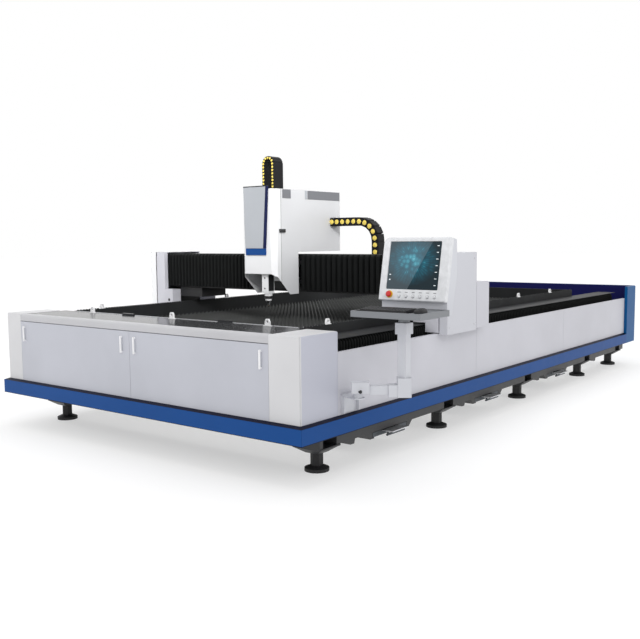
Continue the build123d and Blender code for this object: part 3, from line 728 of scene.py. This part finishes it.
def nose_trim():
    """Cap strip, navy strip and blue band on the nose, and grey bands on the near cheek."""
    x = NOSE_FACE
    trim = Form("nose_trim")
    onto = (lambda u, v, w: (x - w, u, v))
    trim.prism([(-107, 1776), (-127, 1776), (-98, 1315), (-75, 1315)], onto, 0, 12, 0)
    trim.prism([(106, 1314), (-98, 1314), (-97, 1264), (104, 1264)], onto, 0, 7, 1)
    trim.slab((x - 11, -127, 1776), (x + 4, 121, 1783), 1.5, 2)
    trim.make([NAVY, BLUE, CAP], "nose", "trim_silver")
    bands = Form("cheek_bands")
    bands.slab((-1541, -181.5, 1690), (-1442, -180, 1757), 0.6)
    bands.slab((-1270, -181.5, 1690), (-1244, -180, 1757), 0.6, 1)
    bands.slab((-1238, -181.5, 1690), (-820, -180, 1757), 0.6)
    bands.make([BAND, SILVER], "carriage", "panel_white")
    seam = Form("nose_seam")
    seam.slab((-1561, -180.6, 1010), (-1558.5, -179.5, 1757), 0.3)
    seam.make([CAP], "carriage", "cap_grey")


def head_details():
    """The lower head with its rings and tip, and the plates and studs on its body."""
    form = Form("nozzle")
    profile = [(0.01, 972), (30, 972), (30, 952), (27, 950), (27, 942), (30, 940), (30, 930), (28, 928),
               (24, 926), (24, 917), (21, 915), (19, 906), (14, 893), (9, 884), (7, 880), (3, 877),
               (0.01, 877)]
    looks = [0, 0, 0, 1, 1, 1, 0, 0, 0, 0, 2, 2, 2, 2, 3, 3]
    form.lathe(profile, upright(HEAD_X, HEAD_Y), 40, looks)
    form.make([HEAD, BLACK, BRIGHT, BRASS], "head", "nozzle_metal", ("cutting_nozzle",))
    plates = Form("head_plates")
    plates.slab((-1603, -78, 985), (-1600, -18, 1195), 1)
    for z in (1010, 1090, 1170):
        plates.lathe(button_head(6, 2.5, 1), facing_front(-1603, HEAD_Y, z), 20, 1)
    plates.slab((-1596, -81, 990), (-1536, -80, 1400), 0.4, 2)
    plates.make([HEAD, BLACK, BLACK], "head", "head_white")


def end_screws():
    """Round screw heads on the near outer cover, and the hole plug on each step block."""
    form = Form("cover_screws")
    for x, z in ((-994, 1236), (-991, 769), (-1351, 768), (-1351, 1236)):
        form.lathe(button_head(6, 2, 0.8), facing_near(x, END_COVER_FACE, z), 16)
    plug = facing_front(STEP_BLOCK_FACE, -1277, 861)
    for put in (plug, mirrored(plug)):
        form.lathe(button_head(13, 1.5, 1), put, 20, 1)
    form.make([BRIGHT, BLACK], "gantry", "cap_grey")


# Console


def on_bezel(u, v, w):
    """A place on the leaning bezel: u to the right, v up, w out of its back plane."""
    low, high = Vector((-2237, 1016)), Vector((-2166, 1382))
    along = (high - low).normalized()
    out = Vector((-along.y, along.x))
    x, z = low + along * v + out * w
    return (x, CONSOLE_MIDDLE - u, z)


def rounded(half_w, low, high, radii, grow=0.0):
    """A rectangle with its own radius at each corner, as (u, v) points; grow moves it out."""
    centres = [(half_w, low, -90), (half_w, high, 0), (-half_w, high, 90), (-half_w, low, 180)]
    points = []
    for (u, v, turn), r in zip(centres, radii):
        cu = u - math.copysign(r, u)
        cv = v + r if v == low else v - r
        for n in range(7):
            t = math.radians(turn + 15 * n)
            points.append((cu + (r + grow) * math.cos(t), cv + (r + grow) * math.sin(t)))
    return points


def bezel():
    """The white moulded frame round the screen, with softened edges."""
    outer, inner = (14, 14, 40, 8), (7, 7, 7, 7)
    steps = [(outer, -1.5, 0), (outer, 0, 1.5), (outer, 0, 20), (outer, -1.5, 25), (outer, -5, 28)]
    loops = []
    for radii, grow, w in steps:
        loops.append([on_bezel(u, v, w) for u, v in rounded(225, 0, 373, radii, grow)])
    for grow, w in ((4, 28), (1.2, 27), (0, 24), (0, 2), (4, 0)):
        loops.append([on_bezel(u - 7, v, w) for u, v in rounded(171.5, 67, 347, inner, grow)])
    form = Form("bezel")
    form.rings(loops, 0, closed=True)
    for u, wide in zip(BUTTON_PLACES, (26, 20, 20, 20, 20, 20)):
        form.slab((u - wide / 2, 48, 28), (u + wide / 2, 51.5, 28.5), 0.2, 1, on_bezel)
    ring = [(8.4, BEZEL_FACE), (8.4, 29.2), (9.2, 29.8), (10.6, 29.2), (10.8, BEZEL_FACE)]
    for u in BUTTON_PLACES:
        form.lathe(ring + ring[:1], lambda a, b, w, u=u: on_bezel(u + a, BUTTON_ROW + b, w), 28, 2)
    form.make([CONSOLE_WHITE, BAND, BRIGHT], "console", "bezel_white", ("console_bezel",), 40)


def screen():
    """The glass with its picture, and the small light marks on it."""
    form = Form("screen")
    form.slab((-178.2, 67.3, 0), (164.2, 346.7, 23), 1, 0, on_bezel)
    for n in range(7):
        form.slab((136, 320 - 38 * n, 23), (150, 324 - 38 * n, 23.4), 0.15, 1, on_bezel)
    for v in (120, 150):
        form.slab((-166, v, 23), (-156, v + 6, 23.4), 0.15, 1, on_bezel)
    form.make([GLASS, MARK], "console", "screen_glass", ("console_screen",))


def controls():
    """Six buttons and the emergency stop, each on its own body."""
    profile = [(0.01, 33), (5.5, 33), (7.2, 32.4), (8, 31), (8, 14), (0.01, 14)]
    for n, u in enumerate(BUTTON_PLACES, 1):
        form = Form(f"button_cap_{n}")
        form.lathe(profile, lambda a, b, w, u=u: on_bezel(u + a, BUTTON_ROW + b, w), 28)
        form.make([BUTTON], f"button_{n}", "button_grey", (f"push_button_{n}",))
    put = (lambda a, b, w: on_bezel(-148.5 + a, 36 + b, w))
    form = Form("stop_mushroom")
    form.lathe([(0.01, 48), (9, 47.6), (14, 46.2), (17, 43.6), (18, 40.5), (17, 37.6), (15, 36.6),
                (10, 36.6), (10, 18), (0.01, 18)], put, 40)
    form.make([RED], "stop_button", "stop_red", ("e_stop",))
    form = Form("stop_ring")
    ring = [(10.6, 28), (10.6, 30.4), (11.4, 31), (20.5, 31), (22, 29.8), (22, 28)]
    form.lathe(ring + ring[:1], put, 40)
    form.make([YELLOW], "console", "ring_yellow", ("e_stop_ring",))


def keyboard():
    """A low wedge with six rows of keys."""
    form = Form("keys")
    low = SHELF_TOP
    wedge = [(-2530, low), (-2400, low), (-2400, low + 15), (-2404, low + 16), (-2528, low + 8),
             (-2530, low + 6)]
    form.prism(wedge, lambda u, v, w: (u, w, v), -1880, -1556)
    slope = 8 / 124
    for row in range(6):
        x0 = -2526 + 20.4 * row
        y = -1876
        widths = [20.2] * 15
        if row == 0:
            widths = [24, 20.2, 24, 126, 24, 20.2, 24, 20.2, 20.2]
        for wide in widths:
            z0 = low + 8 + slope * (x0 + 10 + 2528)
            if y + wide < -1557:
                form.slab((x0, y, z0 - 3), (x0 + 18.4, y + wide - 2.2, z0 + 6), 1.6)
            y += wide
    form.make([KEYS], "console", "key_black", ("keyboard",))


def mouse():
    """A smooth low shell with a wheel."""
    form = Form("pointer")
    loops = []
    rows = 9
    for k in range(rows + 1):
        rise = k / rows
        size = (1 - rise ** 2.6) ** (1 / 2.6) if k < rows else 0.02
        loop = []
        for n in range(32):
            t = 2 * math.pi * n / 32
            c, s = math.cos(t), math.sin(t)
            px = math.copysign(abs(c) ** 0.8, c) * 50 * size
            py = math.copysign(abs(s) ** 0.8, s) * 28 * size
            loop.append((-2450 + px, -1928 + py, SHELF_TOP + 28.5 * rise))
        loops.append(loop)
    form.rings(loops)
    form.lathe([(0.01, -3), (7, -3), (8, -2), (8, 2), (7, 3), (0.01, 3)],
               lambda a, b, w: (-2476 + a, -1928 + w, 993 + b), 20, 1)
    form.make([KEYS, CAP], "console", "key_black", ("mouse",), 50)


def arm_details():
    """Two clamp knobs on the arm."""
    form = Form("arm_knobs")
    for x, z in ((-2557, 522), (-2470, 522)):
        form.lathe([(0.01, 0), (5, 0), (5, 8), (10, 9), (11, 14), (9, 18), (0.01, 19)],
                   facing_near(x, -1589 if x < -2500 else -1600, z), 12)
    form.make([BLACK], "arm", "latch_black")


# Camera, light and floor


def camera():
    """The photograph's viewpoint."""
    yaw, pitch, roll = (math.radians(a) for a in (37.85, 5.517, -0.509))
    look = Vector((math.cos(yaw) * math.cos(pitch), math.sin(yaw) * math.cos(pitch), -math.sin(pitch)))
    flat = Vector((math.sin(yaw), -math.cos(yaw), 0))
    high = flat.cross(look)
    right = flat * math.cos(roll) + high * math.sin(roll)
    up = high * math.cos(roll) - flat * math.sin(roll)
    cam = bpy.data.objects.new("camera", bpy.data.cameras.new("camera"))
    bpy.context.scene.collection.objects.link(cam)
    cam.data.sensor_fit = "HORIZONTAL"
    cam.data.sensor_width = 36
    cam.data.lens = 46.354
    cam.data.clip_end = 100
    turn = Matrix((right, up, -look)).transposed().to_4x4()
    cam.matrix_world = Matrix.Translation(at(-6303, -4229, 1375)) @ turn
    bpy.context.scene.camera = cam


def area_light(name, spot, target, size, power, color=(1, 1, 1), cone=180):
    """A soft rectangular light at spot that faces target and reaches cone degrees wide."""
    lamp = bpy.data.lights.new(name, "AREA")
    lamp.spread = math.radians(cone)
    lamp.shape = "RECTANGLE"
    lamp.size, lamp.size_y = size
    lamp.energy = power
    lamp.color = color
    thing = bpy.data.objects.new(name, lamp)
    bpy.context.scene.collection.objects.link(thing)
    thing.location = spot
    thing.rotation_euler = (Vector(target) - Vector(spot)).to_track_quat("-Z", "Y").to_euler()


def studio():
    """White surroundings, two wide lights, one narrow light on the carriage, and a pale floor."""
    world = bpy.data.worlds.new("studio")
    bpy.context.scene.world = world
    world.use_nodes = True
    world.node_tree.nodes["Background"].inputs["Color"].default_value = (1, 1, 1, 1)
    world.node_tree.nodes["Background"].inputs["Strength"].default_value = 1.0
    area_light("key", (-10, 1, 6), (-2, 0, 0.6), (6, 4), 25, (1, 0.99, 0.97))
    area_light("upper", (-8, -7, 6.5), (-1.3, 0.8, 2.3), (2.5, 2.5), 30, cone=22)
    area_light("top", (0, 0, 8), (0, 0, 0), (9, 5), 140)
    bpy.context.scene.view_settings.view_transform = "Standard"
    mesh = bpy.data.meshes.new("floor")
    half = 60
    mesh.from_pydata([(-half, -half, 0), (half, -half, 0), (half, half, 0), (-half, half, 0)], [],
                     [(0, 1, 2, 3)])
    floor = bpy.data.objects.new("floor", mesh)
    bpy.context.scene.collection.objects.link(floor)
    mat, tree, bsdf = new_material("floor")
    tree.links.new(ramp(tree, noise(tree, 0.6), [(0.3, (0.49, 0.49, 0.49)), (0.7, (0.51, 0.51, 0.51))]),
                   bsdf.inputs["Base Color"])
    bsdf.inputs["Emission Color"].default_value = (1, 1, 1, 1)
    bsdf.inputs["Emission Strength"].default_value = 0.5
    bsdf.inputs["Roughness"].default_value = 0.85
    floor.data.materials.append(mat)


bed_bellows()
beam_bellows()
slats()
bed_edges()
y_chain()
z_chain()
nose_trim()
head_details()
end_screws()
bezel()
screen()
controls()
keyboard()
mouse()
arm_details()
camera()
studio()
